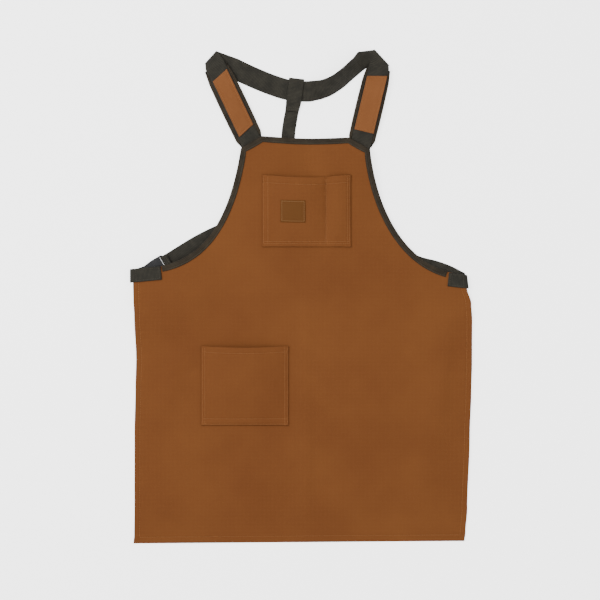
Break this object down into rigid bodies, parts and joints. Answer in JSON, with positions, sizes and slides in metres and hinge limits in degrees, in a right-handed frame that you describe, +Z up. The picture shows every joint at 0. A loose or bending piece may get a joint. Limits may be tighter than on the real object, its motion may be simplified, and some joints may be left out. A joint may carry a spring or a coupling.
{
  "type": "carpenter nail apron",
  "caption": "Canvas bib work apron lying flat, with a chest pocket, a lower tool pocket, padded shoulder straps, webbing yoke and buckled waist strap.",
  "frame": {"origin": "middle of the footprint, on the surface that the apron lies on", "axes": "+Z up out of the apron's front, +Y from the hem to the bib, +X to the viewer's right"},
  "size_m": [0.6414, 0.928, 0.0288],
  "materials": {
    "duck_canvas": "matte woven",
    "pad_canvas": "matte woven",
    "webbing": "ribbed woven",
    "binding_tape": "fine woven",
    "label_leather": "smooth",
    "buckle_plastic": "moulded satin"
  },
  "bodies": {
    "root": {"canvas_panel": "duck_canvas", "tool_pocket": "duck_canvas", "bib_pocket": "duck_canvas", "label_patch": "label_leather", "edge_binding": "binding_tape", "left_pad": "binding_tape", "left_pad_inner_tape": "binding_tape", "left_pad_outer_tape": "binding_tape", "left_pad_canvas": "pad_canvas", "right_pad": "binding_tape", "right_pad_inner_tape": "binding_tape", "right_pad_outer_tape": "binding_tape", "right_pad_canvas": "pad_canvas", "harness_webbing": "webbing", "centre_strap": "webbing", "waist_strap": "webbing", "left_tab": "webbing", "buckle_socket": "buckle_plastic", "buckle_plug": "buckle_plastic"}
  },
  "joints": []
}
